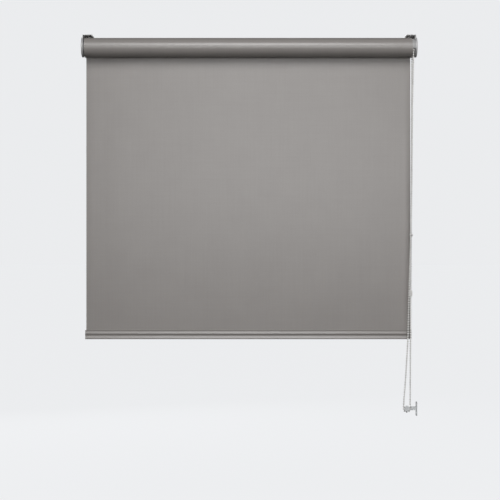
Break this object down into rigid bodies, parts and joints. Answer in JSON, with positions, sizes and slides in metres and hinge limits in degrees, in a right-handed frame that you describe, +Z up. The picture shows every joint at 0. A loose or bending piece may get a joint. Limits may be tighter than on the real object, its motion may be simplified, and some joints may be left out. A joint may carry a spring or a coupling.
{
  "type": "roller blind",
  "caption": "Chain-operated roller blind part lowered: fabric on a roller tube between two brackets, with a weighted rail, side bead chain and chain clip.",
  "frame": {"origin": "middle of the blind on the head of the recess, straight above the roller's axis", "axes": "+X to the right as seen from the room, +Y towards the window, +Z up"},
  "size_m": [0.8297, 0.0626, 0.942],
  "materials": {
    "bracket_silver": "satin silver-grey paint",
    "cover_silver": "satin silver",
    "grey_nylon": "moulded nylon",
    "dark_nylon": "moulded nylon",
    "steel": "bright steel",
    "tube_aluminium": "mill finish",
    "white_plastic": "moulded plastic",
    "chain_white": "glossy moulded plastic",
    "blind_fabric": "fine plain weave, coated",
    "rail_taupe": "taupe powder coat",
    "cap_taupe": "moulded plastic",
    "clip_clear": "clear moulded plastic"
  },
  "bodies": {
    "brackets": {"control_bracket": "bracket_silver", "control_cover": "cover_silver", "clutch_hub": "grey_nylon", "chain_guard": "grey_nylon", "clutch_washer": "steel", "clutch_screw": "steel", "idle_bracket": "bracket_silver", "idle_cover": "cover_silver", "idle_bush": "white_plastic", "safety_clip": "clip_clear", "bead_chain": "chain_white"},
    "roller": {"roller_tube": "tube_aluminium", "fabric_spline": "white_plastic", "fabric_roll": "blind_fabric", "tube_adapter": "grey_nylon", "clutch_drum": "dark_nylon", "wrap_spring_1": "steel", "wrap_spring_2": "steel", "idle_plug": "grey_nylon", "pin_retainer": "dark_nylon", "idle_pin_spring": "steel"},
    "chain_wheel": {"chain_wheel": "white_plastic"},
    "idle_pin": {"idle_pin": "steel"},
    "hanging_fabric": {"fabric_panel": "blind_fabric"},
    "rail": {"bottom_rail": "rail_taupe", "rail_fabric_strip": "white_plastic", "rail_end_cap_left": "cap_taupe", "rail_end_cap_right": "cap_taupe"},
    "chain_connector": {"chain_connector": "chain_white"},
    "stop_bead": {"stop_bead": "chain_white"}
  },
  "joints": [
    {"name": "roller_turn", "type": "hinge", "parent": "brackets", "child": "roller", "pos_m": [0, 0, -0.03], "axis": [1, 0, 0], "range_deg": [-780, 1620]},
    {"name": "chain_wheel_turn", "type": "hinge", "parent": "brackets", "child": "chain_wheel", "pos_m": [0.4081, 0, -0.03], "axis": [1, 0, 0], "range_deg": [-780, 1620]},
    {"name": "idle_pin_retract", "type": "slide", "parent": "roller", "child": "idle_pin", "axis": [1, 0, 0], "range_m": [0, 0.008], "stiffness_N_per_m": 400, "springref_m": -0.01, "deforming": ["idle_pin_spring"]},
    {"name": "fabric_swing", "type": "hinge", "parent": "brackets", "child": "hanging_fabric", "pos_m": [0, 0.0238, -0.03], "axis": [1, 0, 0], "range_deg": [-0.5, 2]},
    {"name": "rail_lift", "type": "slide", "parent": "hanging_fabric", "child": "rail", "axis": [0, 0, 1], "range_m": [-0.3158, 0.6559], "deforming": ["fabric_panel"]},
    {"name": "connector_travel", "type": "slide", "parent": "brackets", "child": "chain_connector", "axis": [0.0079, 0.0171, 0.9998], "range_m": [-0.2085, 0.4325]},
    {"name": "stop_bead_travel", "type": "slide", "parent": "brackets", "child": "stop_bead", "axis": [0.0079, 0.0171, 0.9998], "range_m": [-0.2085, 0.4325]}
  ],
  "couplings": [
    {"joint": "roller_turn", "follows": "rail_lift", "rad_per_m": 43.103},
    {"joint": "chain_wheel_turn", "follows": "rail_lift", "rad_per_m": 43.103},
    {"joint": "connector_travel", "follows": "rail_lift", "ratio": 0.65857},
    {"joint": "stop_bead_travel", "follows": "rail_lift", "ratio": 0.65857}
  ]
}
